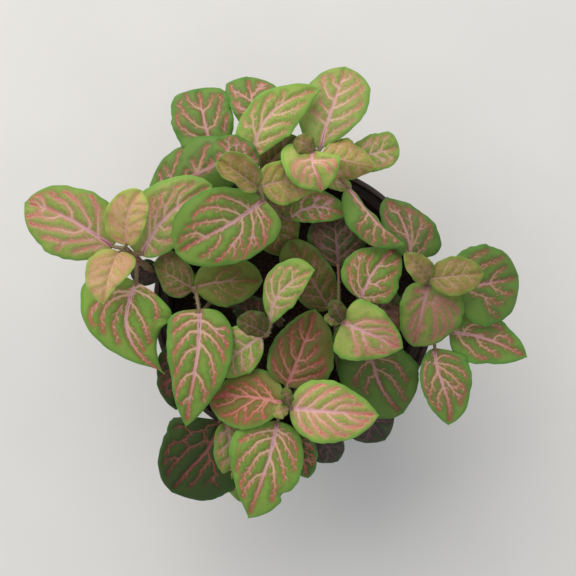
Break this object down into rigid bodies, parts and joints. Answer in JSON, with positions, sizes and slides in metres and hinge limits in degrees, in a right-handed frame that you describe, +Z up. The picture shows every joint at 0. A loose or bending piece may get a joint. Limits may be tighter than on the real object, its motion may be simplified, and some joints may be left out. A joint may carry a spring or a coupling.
{
  "type": "potted nerve plant",
  "caption": "Nerve plant with pink-veined oval leaves on low leafy shoots, rooted in peat in a round tapered nursery pot with a stacking collar and drain holes.",
  "frame": {"origin": "centre of the flat underside of the pot", "axes": "+Z up out of the pot; +X to the right and +Y away, as the plant is seen from above"},
  "size_m": [0.2112, 0.1885, 0.1499],
  "materials": {
    "pot_plastic": "thin moulded polypropylene, dark brown, satin",
    "peat": "moist dark peat, crumbly and matt",
    "leaf": "living leaf and stem, green with pink veins, softly glossy"
  },
  "bodies": {
    "root": {"pot": "pot_plastic", "peat": "peat", "shoot_left": "leaf", "shoot_west": "leaf", "shoot_middle": "leaf", "shoot_north": "leaf", "shoot_far": "leaf", "shoot_centre": "leaf", "shoot_right": "leaf", "shoot_near": "leaf", "shoot_low": "leaf"}
  },
  "joints": []
}
